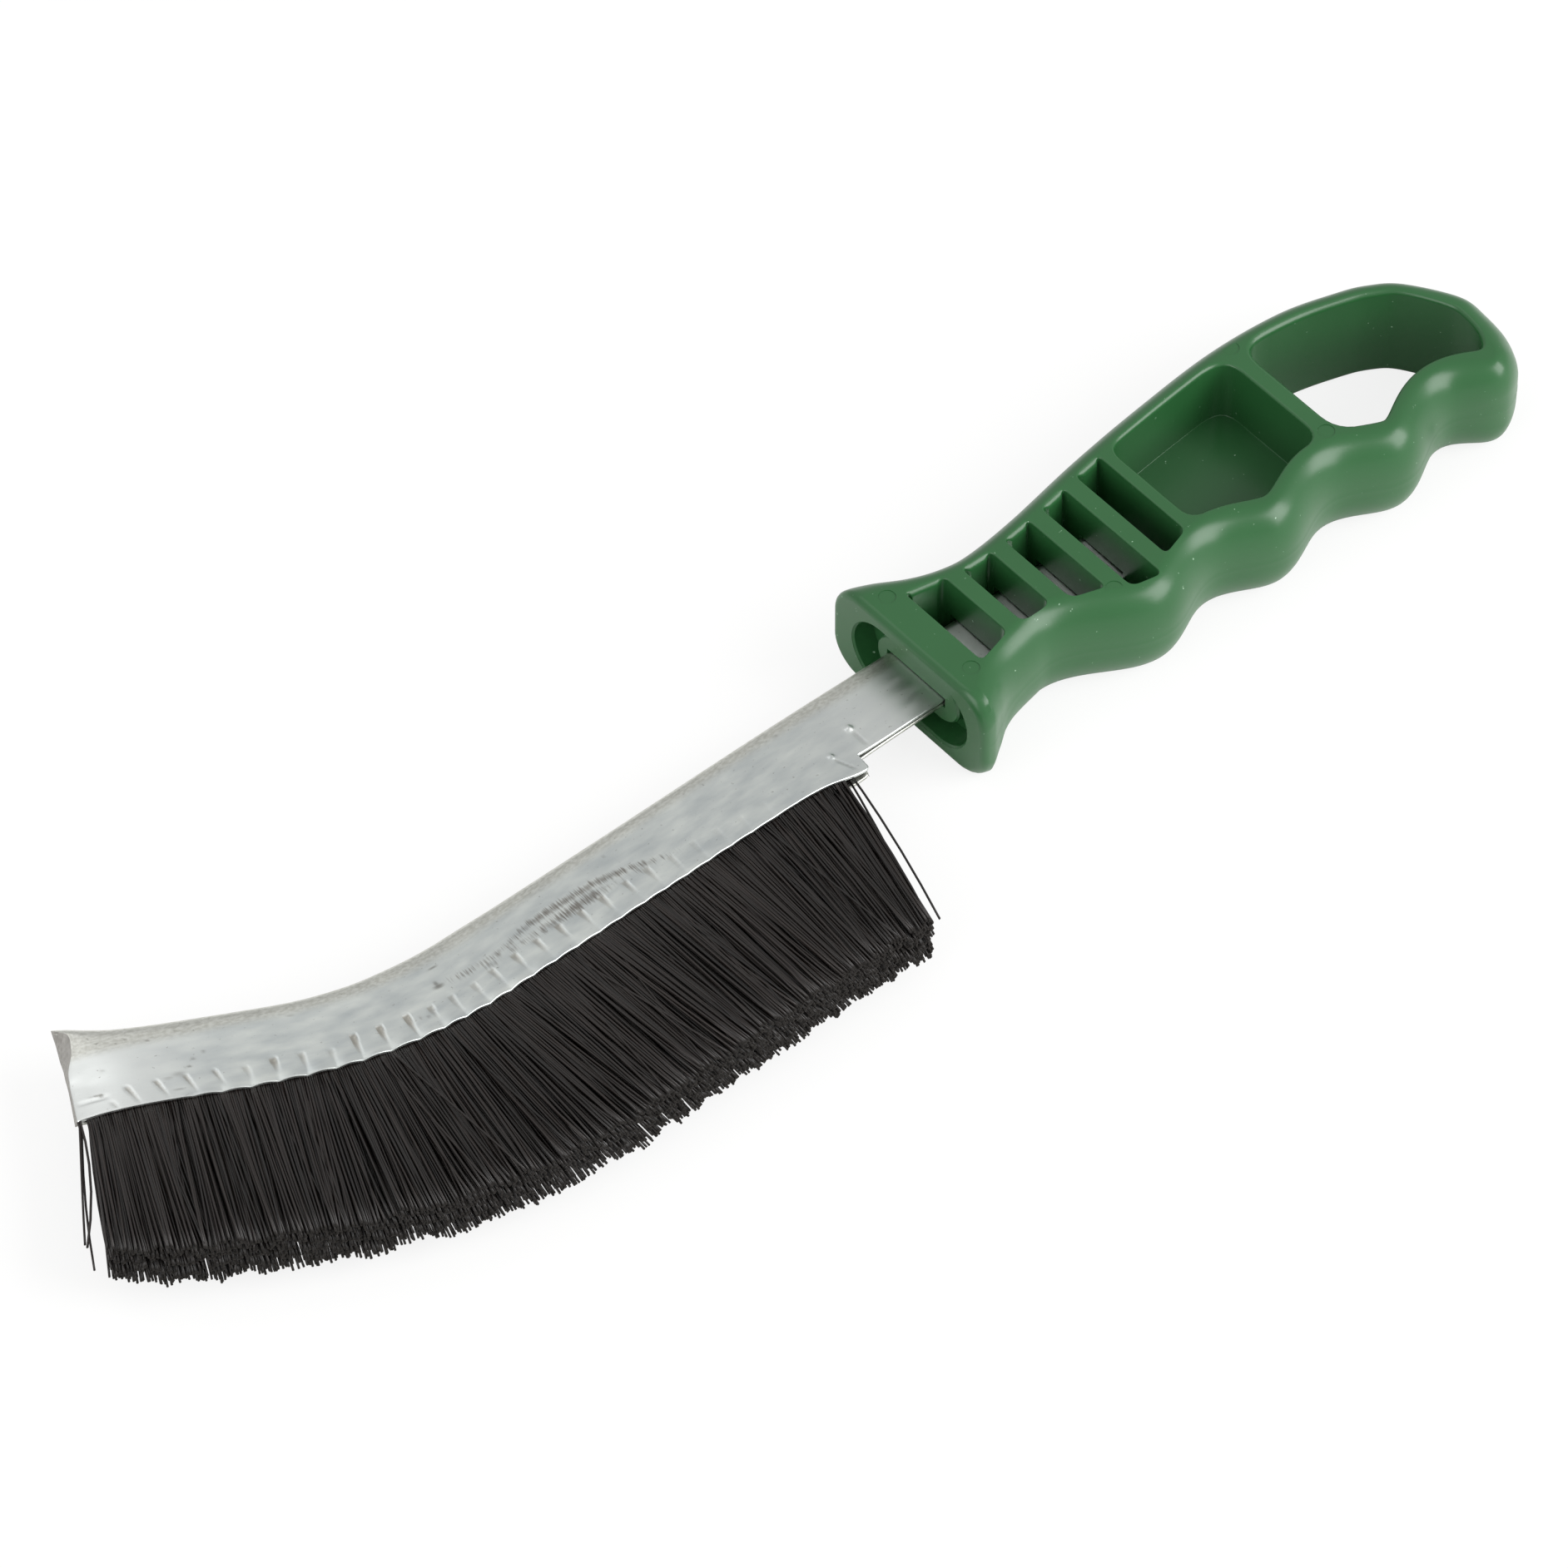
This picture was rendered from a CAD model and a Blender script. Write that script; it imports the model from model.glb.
"""Nylon wire brush: the looks of its steel channel, core wire, filaments and handle, in order of assembly."""

import functools
import math
import random

import bmesh
import bpy
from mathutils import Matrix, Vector


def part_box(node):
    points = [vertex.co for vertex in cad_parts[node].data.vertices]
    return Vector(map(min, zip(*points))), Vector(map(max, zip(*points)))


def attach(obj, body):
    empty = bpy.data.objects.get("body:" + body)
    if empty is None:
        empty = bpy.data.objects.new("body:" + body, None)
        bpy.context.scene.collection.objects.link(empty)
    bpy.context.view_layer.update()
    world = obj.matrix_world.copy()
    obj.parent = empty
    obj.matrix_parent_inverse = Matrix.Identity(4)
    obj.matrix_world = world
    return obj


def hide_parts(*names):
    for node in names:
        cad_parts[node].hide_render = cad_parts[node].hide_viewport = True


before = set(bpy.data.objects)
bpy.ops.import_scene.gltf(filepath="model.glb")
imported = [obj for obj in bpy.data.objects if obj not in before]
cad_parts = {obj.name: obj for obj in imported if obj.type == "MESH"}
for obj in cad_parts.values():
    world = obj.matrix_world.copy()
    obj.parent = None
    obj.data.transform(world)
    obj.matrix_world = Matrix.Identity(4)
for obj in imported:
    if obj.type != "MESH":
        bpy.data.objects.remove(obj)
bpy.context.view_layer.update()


# The steel channel
# One strip of zinc-plated steel, folded lengthwise round the filaments, bent edgewise, and crimped along its
# lips by a toothed tool. Its near end is pressed flat into a tang. Its far end is squeezed and sheared off.
MM = 0.001
SHEET = 0.6 * MM
CHANNEL_HEIGHT = 14.9 * MM
LIP_DROP = 7.6 * MM
LIP_HALF = 1.85 * MM
TANG_REACH = 40 * MM
EAR_REACH = 15.8 * MM
STRAIGHT_RUN = 70.5 * MM
LIP_BEND_RADIUS = 75.0 * MM
BEND_ANGLE = math.radians(26.2)
BEND_RUN = LIP_BEND_RADIUS * BEND_ANGLE
END_RUN = 34.3 * MM
CHANNEL_RUN = STRAIGHT_RUN + BEND_RUN + END_RUN
END_PULL = 5.0 * MM
END_SQUEEZE = 11 * MM
END_SLANT = 1.0 * MM
END_BITE = 0.85 * MM
BITE_SHARES = (0.76, 0.05, 0.20)  # of the strip's height: the bite's middle, half width and fade
HOOK_REACH = 0.9 * MM
HOOK_SHARES = (1.00, 0.03, 0.10)
END_TILT = 0.30
SQUEEZE_SHARES = (0.42, 0.50)  # of the wall's height: where the squeezed wall starts to bulge, and how far up
WALL_HOLLOW = 0.20 * MM
HOLLOW_RUN = 12 * MM
WAVE_HEIGHT = 0.05 * MM
WAVE_RUNS = (4.1 * MM, 9.7 * MM)
CRIMP_HALF = 0.42 * MM
CRIMP_EDGE = 0.26 * MM
CRIMP_DEPTH = 0.26 * MM
CRIMP_RUN_IN = 1.2  # in mm, as are the crimps' own sizes
CRIMP_TOP_FADE = 0.5
CRIMP_FOOT_SHARE = 0.3
LEANING_SHARE = 0.6
SWELL = 0.38 * MM
SWELL_RISE = 1.5 * MM
SWELL_REST_SHARE = 0.6
SCALLOP = 0.20 * MM
SCALLOP_REST_SHARE = 0.5
FOLD_MARK_DEPTH = 0.12 * MM
FOLD_MARK_RISE = 3.9 * MM
FOLD_MARK_WIDTH = 0.3 * MM
FOLD_MARK_INSET = 3.2 * MM
FOLD_MARK_HALF = 2.0 * MM
FOLD_MARK_FADE = 0.8 * MM
EDGE_BEVEL = 0.19 * MM
BEVEL_FADE = 3 * MM
FINE_START = 0.6 * MM
FINE_STEP = 0.28 * MM
COARSE_COLUMNS = (  # up to the fine ones: the first one's run, their step and their count
    (-(TANG_REACH + EAR_REACH), 1.1 * MM, 39), (-13.0 * MM, 0.4 * MM, 31), (-0.76 * MM, 0.06 * MM, 22),
)
SIDE_ROWS = 42
LOWER_ROWS = 20
FOLD_ROWS = 14
UV_UNIT = 100 * MM

# The strip's shape by its run from the ear, all in mm: the heights of its lips and of its fold over the lip's
# line, and half its thickness at both
LIP_RISES = (
    (-60.0, 2.3), (-58.0, 1.5), (-0.16, 1.5), (-0.04, 0.6), (0.02, -0.5), (0.15, -1.15), (0.45, -1.5),
    (0.9, -1.62), (2.5, -1.55), (4.0, -1.3), (5.5, -1.02), (7.5, -0.62), (10.0, -0.32), (13.0, -0.12),
    (20.0, 0.0), (45.0, 0.12), (70.0, 0.3), (80.0, 0.35), (100.0, 0.2), (113.0, 0.15), (119.0, 0.4),
    (125.0, 0.78), (129.0, 0.95), (133.0, 1.05), (136.0, 1.12), (138.0, 1.1), (139.2, 0.95),
)
FOLD_RISES = (
    (-60.0, 11.0), (-53.5, 12.6), (-20.0, 12.6), (-17.5, 14.4), (-8.0, 14.65), (0.0, 14.7), (30.0, 14.7),
    (60.0, 14.85), (72.0, 15.1), (84.0, 15.1), (92.0, 14.95), (104.0, 14.95), (111.4, 15.2), (119.4, 15.6),
    (124.4, 15.9), (130.4, 16.55), (134.4, 17.5), (137.4, 18.4), (139.2, 18.7),
)
LIP_HALVES = (
    (-60.0, 1.4), (-21.0, 1.4), (-17.5, 0.8), (-8.0, 0.75), (-4.0, 0.8), (-0.5, 0.98), (3.0, 1.35),
    (7.0, 1.72), (12.0, 1.85), (122.0, 1.85), (127.0, 1.78), (131.0, 1.6), (135.0, 1.2), (137.5, 0.8),
    (139.2, 0.62),
)
FOLD_HALVES = (
    (-60.0, 1.7), (-21.0, 1.7), (-17.5, 0.85), (-14.0, 0.75), (-9.0, 0.87), (-3.0, 1.25), (2.0, 1.65),
    (7.0, 2.02), (14.0, 2.28), (24.0, 2.4), (125.0, 2.4), (133.0, 2.3), (139.2, 1.95),
)
# How strongly the lip is scalloped between its crimps, by run in mm
SCALLOPS = (
    (0.0, 0.0), (15.0, 0.15), (35.0, 0.4), (60.0, 0.55), (72.0, 1.0), (108.0, 1.0), (120.0, 0.7),
    (124.0, 0.0),
)

# Each crimp: its run, the rises of its two ends in mm, its share of the full depth and how far it leans
CRIMPS = (
    (13.4, 0.6, 3.0, 0.06, 0), (17.8, 0.6, 3.4, 0.12, 0), (22.2, 0.6, 3.5, 0.15, 0),
    (26.5, 0.6, 4.0, 0.15, 0), (30.8, 0.6, 4.4, 0.20, 0), (35.1, 1.5, 4.5, 0.30, 0),
    (39.4, 2.3, 5.0, 0.50, 0), (43.5, 2.8, 5.1, 0.55, 0), (48.1, 2.5, 5.2, 0.60, 0),
    (52.3, 2.6, 5.2, 0.60, 0), (56.6, 2.8, 5.2, 0.65, 0), (60.9, 2.8, 5.2, 0.60, 0),
    (65.2, 2.6, 5.2, 0.65, 0), (69.6, 2.6, 5.1, 0.50, 0), (73.6, 2.4, 4.7, 0.40, 0),
    (77.9, 2.3, 4.8, 0.45, 0), (81.8, 3.2, 4.8, 0.60, 0), (86.0, 1.9, 5.1, 1.00, 0),
    (90.8, 2.6, 5.1, 1.00, 0), (95.3, 2.0, 5.1, 1.00, 0), (99.5, 2.0, 3.6, 0.30, 0),
    (104.0, 1.8, 4.2, 0.50, 0.1), (108.4, 2.7, 4.4, 0.90, 0.1), (112.6, 2.0, 3.9, 0.35, 0.2),
    (117.0, 2.2, 4.4, 0.55, 0.35), (121.3, 1.9, 4.5, 0.65, 0.35), (125.7, 2.2, 4.6, 0.65, 0.4),
    (130.0, 1.9, 4.6, 0.60, 0.42), (132.9, 1.4, 2.6, 0.25, 0.42),
)
# The two small marks beside the ear: each one's run, rise and height in mm, and the slope of its crease
PIMPLES = ((-2.5, 6.1, 0.48, 0.0), (3.5, 3.3, 0.36, 0.45))
PIMPLE_SPREAD = 0.26
PIMPLE_SQUEEZE = 1.2
PIMPLE_LIFT = 0.25
CREASE_TOP = 0.4
CREASE_MIDDLE = 2.1
CREASE_HALF = 1.2
CREASE_FADE = 0.9
CREASE_WIDTH = 0.22
CREASE_DEPTH = 0.15
CREASE_STAIN_WIDTH = 0.13
CREASE_STAIN = 0.45
# Where the press tool scuffed the wall: the scuffs' rise and strength by run, and their reach, all in mm
SCUFF_ROWS = (
    (((33, 4.3), (36, 5.0), (40, 6.2), (44, 7.2), (48, 7.8), (54, 8.0), (60, 8.0), (64, 7.2), (68, 6.8),
      (77, 7.2)),
     ((31, 0), (35, 0.35), (40, 0.65), (44, 0.95), (57, 1.0), (61, 0.7), (66, 0.5), (74, 0.5), (76.5, 0.4),
      (78, 0)),
     0.75),
    (((40, 5.4), (48, 6.0), (70, 5.9)),
     ((38, 0), (40, 0.5), (42, 0.2), (46, 0.3), (48, 0.9), (55, 1.0), (58, 0.7), (61, 0.35), (64, 0.4),
      (67, 0.1), (69, 0.6), (71, 0)),
     1.0),
)
# Small stains: run, rise, half length, half height in mm, and strength
STAINS = (
    (78.3, 7.30, 0.85, 0.35, 0.8), (78.4, 7.9, 0.35, 0.45, 0.7), (77.0, 10.65, 0.8, 0.12, 0.7),
    (78.1, 10.5, 0.5, 0.1, 0.6), (134.5, 4.35, 0.35, 0.25, 0.9), (135.2, 4.55, 0.5, 0.12, 0.7),
    (137.2, 4.6, 1.6, 0.07, 0.5), (120.7, 6.0, 0.3, 0.2, 0.7), (121.3, 5.9, 0.15, 0.2, 0.5),
    (119.9, 7.25, 0.35, 0.2, 0.5), (118.1, 8.15, 0.3, 0.2, 0.5), (122.5, 5.0, 0.9, 0.4, 0.35),
    (124.2, 4.6, 0.7, 0.25, 0.3), (123.0, 2.2, 0.8, 0.12, 0.4), (125.8, 12.1, 0.35, 0.12, 0.6),
    (128.9, 13.0, 0.2, 0.2, 0.5), (134.3, 14.6, 0.25, 0.15, 0.6), (133.4, 8.6, 0.4, 0.2, 0.3),
    (7.4, 11.9, 0.25, 0.15, 0.5), (54.0, 13.1, 0.5, 0.3, 0.5), (42.8, 10.7, 0.2, 0.2, 0.4),
    (91.5, 13.3, 0.7, 0.15, 0.4), (77.5, 13.1, 0.5, 0.15, 0.35), (104.0, 11.4, 0.6, 0.12, 0.3),
    (82.9, 3.2, 0.25, 0.2, 0.5), (84.1, 3.6, 0.2, 0.3, 0.4), (11.5, 14.3, 0.5, 0.15, 0.5),
)

low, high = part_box("handle")
TOOL_AXIS = Vector((low.x, 0, (low.z + high.z) / 2))
scatter = random.Random(11)


def place(point, side):
    """A point of the tool's own plane, and its distance to one side, in the frame."""
    return TOOL_AXIS + Vector((point.x, point.y, side))


def level(table, x):
    """The value at x on a smooth curve through a table's entries, which never swings past them."""
    for i, ((x0, y0), (x1, y1)) in enumerate(zip(table, table[1:])):
        if x <= x1:
            break
    rises = [(b[1] - a[1]) / (b[0] - a[0]) for a, b in zip(table[max(i - 1, 0):], table[max(i, 1):i + 3])]
    rises = ([0.0] if i == 0 else []) + rises + ([0.0] if i + 2 == len(table) else [])
    before, here, after = rises
    start = 2 * before * here / (before + here) if before * here > 0 else 0
    end = 2 * here * after / (here + after) if here * after > 0 else 0
    width = x1 - x0
    t = min(max((x - x0) / width, 0), 1)
    curve = (2 * t - 3) * t * t
    return y0 * (1 + curve) - y1 * curve + width * t * (t - 1) * (start * (t - 1) + end * t)


def strip_at(run):
    """The lip's place, the way across the strip to its fold and the way along it, at a run from the ear."""
    turn = min(max(run - STRAIGHT_RUN, 0) / LIP_BEND_RADIUS, BEND_ANGLE)
    up = Vector((math.sin(turn), math.cos(turn)))
    along = Vector((-math.cos(turn), math.sin(turn)))
    if run < STRAIGHT_RUN:
        return Vector((-EAR_REACH - run, -LIP_DROP)), up, along
    centre = Vector((-EAR_REACH - STRAIGHT_RUN, LIP_BEND_RADIUS - LIP_DROP))
    past = max(run - STRAIGHT_RUN - BEND_RUN, 0)
    return centre - up * LIP_BEND_RADIUS + along * past, up, along


def bump(x, half, edge):
    """1 within half of nought, falling smoothly to 0 over the edge beyond it."""
    share = min(max((half + edge - abs(x)) / edge, 0), 1)
    return share * share * (3 - 2 * share)


def crimp_dent(run, up):
    """How deep the toothed tool's marks are here, as a share of the deepest: wedges, widest at their top."""
    for middle, foot, top, share, lean in CRIMPS:
        if abs(run / MM - middle) < 2:
            aside = run / MM - middle - lean * (up / MM - (foot + top) / 2)
            rise = min(max((up / MM - foot + CRIMP_RUN_IN) / (top - foot + CRIMP_RUN_IN), 0), 1)
            narrow = CRIMP_FOOT_SHARE + (1 - CRIMP_FOOT_SHARE) * rise
            if lean > 0.3:
                narrow *= LEANING_SHARE
            across = bump(aside * MM, CRIMP_HALF * narrow, CRIMP_EDGE)
            end = min(max((top + 0.7 * CRIMP_TOP_FADE - up / MM) / CRIMP_TOP_FADE, 0), 1)
            return share * across * min(rise * 1.15, 1) * end * end * (3 - 2 * end)
    return 0


def arch(run):
    """0 at each crimp and 1 halfway between two of them."""
    for before, after in zip(CRIMPS, CRIMPS[1:]):
        if before[0] <= run / MM <= after[0]:
            return math.sin(math.pi * (run / MM - before[0]) / (after[0] - before[0]))
    return 0


def crease(run, up, half):
    """How near a point lies to the creases below the two small marks, as 1 on them."""
    nearest = 0
    for at_run, at_up, rise, slope in PIMPLES:
        x, y = run / MM - at_run, up / MM - at_up
        aside = (x - slope * (y + CREASE_TOP)) / half
        nearest = max(nearest, math.exp(-aside * aside) * bump(y + CREASE_MIDDLE, CREASE_HALF, CREASE_FADE))
    return nearest


def pimple(run, up):
    """The two small marks that the press left beside the ear, each with a crease below it."""
    height = -CREASE_DEPTH * crease(run, up, CREASE_WIDTH)
    for at_run, at_up, rise, slope in PIMPLES:
        x, y = run / MM - at_run, up / MM - at_up
        height += rise * math.exp(-(x * x * PIMPLE_SQUEEZE + (y - PIMPLE_LIFT) ** 2) / PIMPLE_SPREAD)
    return height * MM


def relief(run, up):
    """How far the wall stands out from its plain shape at a run and a height over the lip's line."""
    share = min(max(up / CHANNEL_HEIGHT, 0), 1)
    out = -WALL_HOLLOW * math.sin(math.pi * share) * min(max(run / HOLLOW_RUN, 0), 1)
    short, long = WAVE_RUNS
    out += WAVE_HEIGHT * math.sin(run / short) * math.sin(run / long + 3 * share) * (1 - share)
    out += pimple(run, up)
    if run > CRIMPS[0][0] * MM:
        swell = (arch(run) - SWELL_REST_SHARE) * math.exp(-max(up, 0) / SWELL_RISE)
        out += SWELL * level(SCALLOPS, run / MM) * swell
        out -= CRIMP_DEPTH * crimp_dent(run, up)
    from_mark = run - CHANNEL_RUN + FOLD_MARK_INSET
    fold_mark = bump(up - FOLD_MARK_RISE, 0, FOLD_MARK_WIDTH)
    fold_mark *= bump(from_mark, FOLD_MARK_HALF, FOLD_MARK_FADE)
    return out - FOLD_MARK_DEPTH * fold_mark


@functools.cache
def section_at(run):
    """The strip's foot, top and two half thicknesses at a run, and its nearness to the sheared end."""
    x = run / MM
    foot = level(LIP_RISES, x) * MM + SCALLOP * level(SCALLOPS, x) * (arch(run) - SCALLOP_REST_SHARE)
    closing = min(max((run - CHANNEL_RUN + END_SQUEEZE) / END_SQUEEZE, 0), 1)
    closing = closing * closing * (3 - 2 * closing)
    return foot, level(FOLD_RISES, x) * MM, level(LIP_HALVES, x) * MM, level(FOLD_HALVES, x) * MM, closing


def strip_point(run, rise, turn):
    """The point of the strip's outer face at a run, a share of the wall's height and a turn of the fold."""
    lip, up_way, along = strip_at(run)
    foot, top, lip_half, fold_half, closing = section_at(run)
    up = foot + rise * (top - foot - fold_half) + fold_half * math.sin(turn)
    wall_share = min(max(up / (top - fold_half), 0), 1)
    start, reach = SQUEEZE_SHARES
    bulge = min(max((wall_share - start) / reach, 0), 1)
    bulge = wall_share + (bulge * bulge * (3 - 2 * bulge) - wall_share) * closing
    out = relief(run, up) * (1 - math.sin(turn))
    side = (lip_half + (fold_half - lip_half) * bulge + out) * math.cos(turn)
    last = min(max((run - CHANNEL_RUN + END_PULL) / END_PULL, 0), 1) ** 2
    share = min(max(up / top, 0), 1)
    bite, hook = (bump(share - middle, half, fade) for middle, half, fade in (BITE_SHARES, HOOK_SHARES))
    ahead = -END_SLANT * share - END_BITE * bite * (0.6 + 0.4 * side / fold_half)
    ahead += HOOK_REACH * hook * (1 + side / fold_half) - END_TILT * side
    return place(lip + up_way * up + along * ahead * last, side), up


runs = [start + i * step for start, step, count in COARSE_COLUMNS for i in range(count)]
fine_count = int((CHANNEL_RUN - FINE_START) / FINE_STEP)
runs += [FINE_START + (CHANNEL_RUN - FINE_START) * i / fine_count for i in range(fine_count + 1)]
rows = [(i / SIDE_ROWS, 0) for i in range(SIDE_ROWS)]
rows += [(1, math.pi * i / FOLD_ROWS) for i in range(FOLD_ROWS + 1)]
rows += [((LOWER_ROWS - 1 - i) / LOWER_ROWS, math.pi) for i in range(LOWER_ROWS)]


def scuffed_at(run, up):
    """How strongly the press tool scuffed the wall here."""
    strongest = 0
    for rises, strengths, reach in SCUFF_ROWS:
        off = (up / MM - level(rises, run / MM)) / reach
        strongest = max(strongest, level(strengths, run / MM) * math.exp(-off * off))
    return strongest


def stained_at(run, up):
    """How strongly the wall is stained here."""
    found = CREASE_STAIN * crease(run, up, CREASE_STAIN_WIDTH)
    for at_run, at_up, half_run, half_up, strength in STAINS:
        x, y = (run / MM - at_run) / half_run, (up / MM - at_up) / half_up
        if x * x + y * y < 6:
            found = max(found, strength * math.exp(-(x * x + y * y) ** 1.5 * 0.7))
    return found


# A flat grid, each of whose points is put in its place on the strip, with the sheared end as its own face
bm = bmesh.new()
bmesh.ops.create_grid(bm, x_segments=len(runs) - 1, y_segments=len(rows) - 1, size=1)
uv_layer = bm.loops.layers.uv.new("run_and_rise")
dent_layer = bm.verts.layers.float.new("dent")
scuff_layer = bm.verts.layers.float.new("scuff")
stain_layer = bm.verts.layers.float.new("stain")
weight_layer = bm.edges.layers.float.new("bevel_weight_edge")
cells = {}
for vert in bm.verts:
    column = round((vert.co.x + 1) / 2 * (len(runs) - 1))
    row = round((vert.co.y + 1) / 2 * (len(rows) - 1))
    run = runs[column]
    rise, turn = rows[row]
    vert.co, up = strip_point(run, rise, turn)
    cells[vert] = (run, up, turn, column, row)
    if turn == 0:
        vert[dent_layer] = crimp_dent(run, up)
        vert[scuff_layer] = scuffed_at(run, up)
        vert[stain_layer] = stained_at(run, up)
for face in bm.faces:
    face.smooth = True
    for loop in face.loops:
        run, up, turn, column, row = cells[loop.vert]
        over = 2 * (CHANNEL_HEIGHT - up) if turn > math.pi / 2 else 0
        loop[uv_layer].uv = (run / UV_UNIT, (up + over) / UV_UNIT)
for bm_edge in bm.edges:
    ends = [cells[vert] for vert in bm_edge.verts]
    if bm_edge.is_boundary and ends[0][4] == ends[1][4]:
        bm_edge[weight_layer] = min(max((CHANNEL_RUN - max(end[0] for end in ends)) / BEVEL_FADE, 0), 1)
last_column = sorted((cell[4], vert) for vert, cell in cells.items() if cell[3] == len(runs) - 1)
sheared_face = bm.faces.new([vert for row, vert in last_column])
sheared_face.material_index = 1
bmesh.ops.triangulate(bm, faces=[sheared_face])
bmesh.ops.recalc_face_normals(bm, faces=bm.faces)
bm.normal_update()
highest = max(bm.faces, key=lambda face: face.calc_center_median().z)
if highest.normal.z < 0:
    bmesh.ops.reverse_faces(bm, faces=bm.faces)


def add_piece(name, bm):
    """The finished bmesh as a piece of the brush, which has no joints and so one body."""
    mesh = bpy.data.meshes.new(name)
    bm.to_mesh(mesh)
    bm.free()
    piece = bpy.data.objects.new(name, mesh)
    bpy.context.scene.collection.objects.link(piece)
    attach(piece, "root")
    return piece


strip = add_piece("folded_steel_strip", bm)
wall = strip.modifiers.new("sheet_thickness", "SOLIDIFY")
wall.thickness = SHEET
wall.offset = -1
edge = strip.modifiers.new("sheared_edge", "BEVEL")
edge.limit_method = "WEIGHT"
edge.width = EDGE_BEVEL
edge.segments = 3
edge.use_clamp_overlap = False
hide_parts("steel_channel")


def colour(code):
    """An sRGB hex colour as linear red, green, blue and alpha."""
    parts = [int(code[i:i + 2], 16) / 255 for i in (1, 3, 5)]
    return (*(p / 12.92 if p <= 0.04045 else ((p + 0.055) / 1.055) ** 2.4 for p in parts), 1)


def new_material(name):
    """An empty material with its Principled shader."""
    material = bpy.data.materials.new(name)
    material.use_nodes = True
    return material, material.node_tree.nodes["Principled BSDF"]


def add_node(material, kind, inputs, **settings):
    """Adds a node with its settings and its inputs, each a value or another node's output."""
    made = material.node_tree.nodes.new(kind)
    for name, value in settings.items():
        setattr(made, name, value)
    for name, value in inputs.items():
        if isinstance(value, bpy.types.NodeSocket):
            material.node_tree.links.new(value, made.inputs[name])
        else:
            made.inputs[name].default_value = value
    return made


def cell_scale(length, height):
    """The Mapping scale that gives a noise cells of this length and height, in mm, on the strip's UV map."""
    return (UV_UNIT / (length * MM), UV_UNIT / (height * MM), 1)


# Electroplated zinc on cold-rolled sheet: dull bright, clearer towards its two ends, a little beige along the
# fold, with cloudy rubbing, scuffs where the press tool slid, and browned, burnished dents. The sheet's grain
# is finer than the render shows, so it is drawn as lines 0.24 mm apart.
zinc, shader = new_material("zinc_plated_steel")
uv = add_node(zinc, "ShaderNodeUVMap", {}, uv_map="run_and_rise")
parts = add_node(zinc, "ShaderNodeSeparateXYZ", {0: uv.outputs[0]})
cloud_place = add_node(zinc, "ShaderNodeMapping", {
    0: uv.outputs[0], "Rotation": (0, 0, 0.7), "Scale": cell_scale(7.1429, 2.0833)})
cloud = add_node(zinc, "ShaderNodeTexNoise", {"Vector": cloud_place.outputs[0], "Scale": 1.0, "Detail": 6.0})
cloud_cut = add_node(zinc, "ShaderNodeMapRange", {0: cloud.outputs[0], 1: 0.3, 2: 0.7})
base = add_node(zinc, "ShaderNodeMix", {
    0: cloud_cut.outputs[0], 6: colour("#C3C9C9"), 7: colour("#DBDFDB")}, data_type="RGBA")
from_middle = add_node(zinc, "ShaderNodeMath", {0: parts.outputs[0], 1: 0.6}, operation="SUBTRACT")
to_ends = add_node(zinc, "ShaderNodeMath", {0: from_middle.outputs[0]}, operation="ABSOLUTE")
clear = add_node(zinc, "ShaderNodeMapRange", {
    0: to_ends.outputs[0], 1: 0.50, 2: 0.78}, interpolation_type="SMOOTHSTEP")
cleared = add_node(zinc, "ShaderNodeMix", {
    0: clear.outputs[0], 6: base.outputs[2], 7: colour("#E3E6E4")}, data_type="RGBA")
near_fold = add_node(zinc, "ShaderNodeMapRange", {
    0: parts.outputs[1], 1: 0.108, 2: 0.128, 3: 0.0, 4: 0.75}, interpolation_type="SMOOTHSTEP")
line_place = add_node(zinc, "ShaderNodeMapping", {0: uv.outputs[0], "Scale": cell_scale(0.9091, 0.4167)})
lines = add_node(zinc, "ShaderNodeTexNoise", {"Vector": line_place.outputs[0], "Scale": 1.0, "Detail": 6.0})
line_cut = add_node(zinc, "ShaderNodeMapRange", {0: lines.outputs[0], 1: 0.38, 2: 0.62})
fold_tint = add_node(zinc, "ShaderNodeMix", {
    0: line_cut.outputs[0], 6: colour("#B7B6AC"), 7: colour("#D3D3CB")}, data_type="RGBA")
tinted = add_node(zinc, "ShaderNodeMix", {
    0: near_fold.outputs[0], 6: cleared.outputs[2], 7: fold_tint.outputs[2]}, data_type="RGBA")
tick_place = add_node(zinc, "ShaderNodeMapping", {0: uv.outputs[0], "Scale": cell_scale(0.32258, 3.846)})
ticks = add_node(zinc, "ShaderNodeTexNoise", {"Vector": tick_place.outputs[0], "Scale": 1.0, "Detail": 3.0})
scuffs = add_node(zinc, "ShaderNodeAttribute", {}, attribute_name="scuff")
scuff_bias = add_node(zinc, "ShaderNodeMath", {
    0: scuffs.outputs["Fac"], 1: 0.28, 2: ticks.outputs[0]}, operation="MULTIPLY_ADD")
scuff = add_node(zinc, "ShaderNodeMapRange", {
    0: scuff_bias.outputs[0], 1: 0.54, 2: 0.88, 4: 0.85}, interpolation_type="SMOOTHSTEP")
in_scuff = add_node(zinc, "ShaderNodeMapRange", {0: scuffs.outputs["Fac"], 1: 0.03, 2: 0.40})
scuff = add_node(zinc, "ShaderNodeMath", {0: scuff.outputs[0], 1: in_scuff.outputs[0]}, operation="MULTIPLY")
scuffed = add_node(zinc, "ShaderNodeMix", {
    0: scuff.outputs[0], 6: tinted.outputs[2], 7: colour("#77716A")}, data_type="RGBA")
speck_place = add_node(zinc, "ShaderNodeMapping", {0: uv.outputs[0], "Scale": cell_scale(0.9091, 0.625)})
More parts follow.
